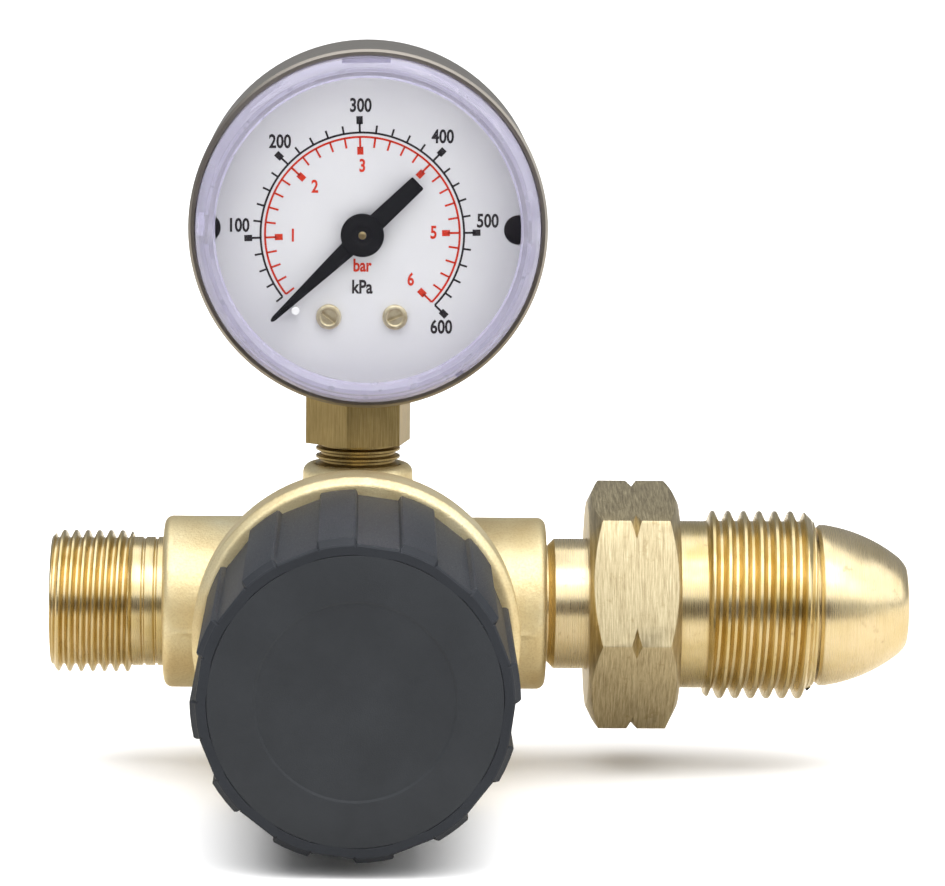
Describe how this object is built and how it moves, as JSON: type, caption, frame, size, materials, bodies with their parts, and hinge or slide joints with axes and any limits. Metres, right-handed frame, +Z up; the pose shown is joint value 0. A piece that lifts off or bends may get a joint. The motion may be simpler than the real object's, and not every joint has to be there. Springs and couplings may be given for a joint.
{
  "type": "gas pressure regulator",
  "caption": "Brass gas pressure regulator with a black pressure knob, a dial gauge on top, a bullnose inlet with a union nut and a threaded outlet.",
  "frame": {"origin": "on the inlet axis, half way along the crests of the union nut's thread", "axes": "+X along the inlet axis, out of the inlet; +Z up through the gauge; the knob faces -Y"},
  "size_m": [0.0992, 0.0761, 0.0832],
  "materials": {
    "forged_brass": "satin",
    "turned_brass": "satin",
    "nut_brass": "satin",
    "sintered_bronze": "matte",
    "olive_brass": "satin",
    "screw_brass": "satin",
    "movement_brass": "satin",
    "tube_bronze": "satin",
    "spring_steel": "satin",
    "case_steel": "satin",
    "black_plastic": "matte",
    "cap_plastic": "matte",
    "clear_plastic": "gloss",
    "dial_white": "satin",
    "pin_white": "satin",
    "pointer_black": "satin",
    "rubber": "matte",
    "fibre": "matte"
  },
  "bodies": {
    "regulator": {"body": "forged_brass", "outlet_nipple": "turned_brass", "inlet_stem": "turned_brass", "inlet_filter": "sintered_bronze", "bonnet": "turned_brass", "slip_ring": "turned_brass", "diaphragm": "rubber", "main_spring": "spring_steel", "thrust_washer": "spring_steel", "valve_nozzle": "turned_brass", "poppet_spring": "spring_steel", "gauge_washer": "fibre", "gauge_socket": "olive_brass", "gauge_case": "case_steel", "gauge_lens": "clear_plastic", "dial": "dial_white", "dial_screws": "screw_brass", "stop_pin": "pin_white", "movement_back_plate": "movement_brass", "movement_front_plate": "movement_brass", "movement_pillars": "movement_brass", "hairspring": "spring_steel", "bourdon_tube": "tube_bronze"},
    "union_nut": {"inlet_nut": "nut_brass"},
    "knob_spindle": {"knob": "black_plastic", "knob_cap": "cap_plastic", "knob_screw": "spring_steel", "spindle": "spring_steel"},
    "carrier": {"spring_carrier": "turned_brass"},
    "diaphragm_centre": {"diaphragm_plate": "turned_brass", "diaphragm_button": "turned_brass"},
    "valve": {"poppet": "turned_brass", "seat_pad": "rubber"},
    "needle": {"pointer": "pointer_black", "pinion": "movement_brass"},
    "gear_sector": {"sector": "movement_brass"},
    "tube_end": {"tube_tip": "movement_brass", "link": "movement_brass"}
  },
  "joints": [
    {"name": "nut_spin", "type": "hinge", "parent": "regulator", "child": "union_nut", "pos_m": [0, 0, 0], "axis": [1, 0, 0], "continuous": true},
    {"name": "knob_turn", "type": "hinge", "parent": "regulator", "child": "knob_spindle", "pos_m": [-0.04665, -0.04, 0], "axis": [0, 1, 0], "range_deg": [0, 1800]},
    {"name": "carrier_slide", "type": "slide", "parent": "regulator", "child": "carrier", "axis": [0, 1, 0], "range_m": [0, 0.00624], "deforming": ["main_spring"]},
    {"name": "diaphragm_slide", "type": "slide", "parent": "regulator", "child": "diaphragm_centre", "axis": [0, 1, 0], "range_m": [0, 0.0008], "stiffness_N_per_m": 600, "deforming": ["diaphragm"]},
    {"name": "poppet_slide", "type": "slide", "parent": "regulator", "child": "valve", "axis": [0, 1, 0], "range_m": [0, 0.0008], "deforming": ["poppet_spring"]},
    {"name": "pointer_turn", "type": "hinge", "parent": "regulator", "child": "needle", "pos_m": [-0.0463, -0.009, 0.0438], "axis": [0, 1, 0], "range_deg": [0, 270], "deforming": ["hairspring"]},
    {"name": "sector_turn", "type": "hinge", "parent": "regulator", "child": "gear_sector", "pos_m": [-0.0536, -0.006, 0.05], "axis": [0, 1, 0], "range_deg": [-54.5, 0]},
    {"name": "tip_slide", "type": "slide", "parent": "regulator", "child": "tube_end", "axis": [0, 0, -1], "range_m": [0, 0.00272], "stiffness_N_per_m": 300, "deforming": ["bourdon_tube"]}
  ],
  "couplings": [
    {"joint": "knob_turn", "follows": "carrier_slide", "rad_per_m": 5026.5},
    {"joint": "poppet_slide", "follows": "diaphragm_slide", "ratio": 1},
    {"joint": "pointer_turn", "follows": "tip_slide", "rad_per_m": 1732.4},
    {"joint": "sector_turn", "follows": "tip_slide", "rad_per_m": -346.48}
  ]
}
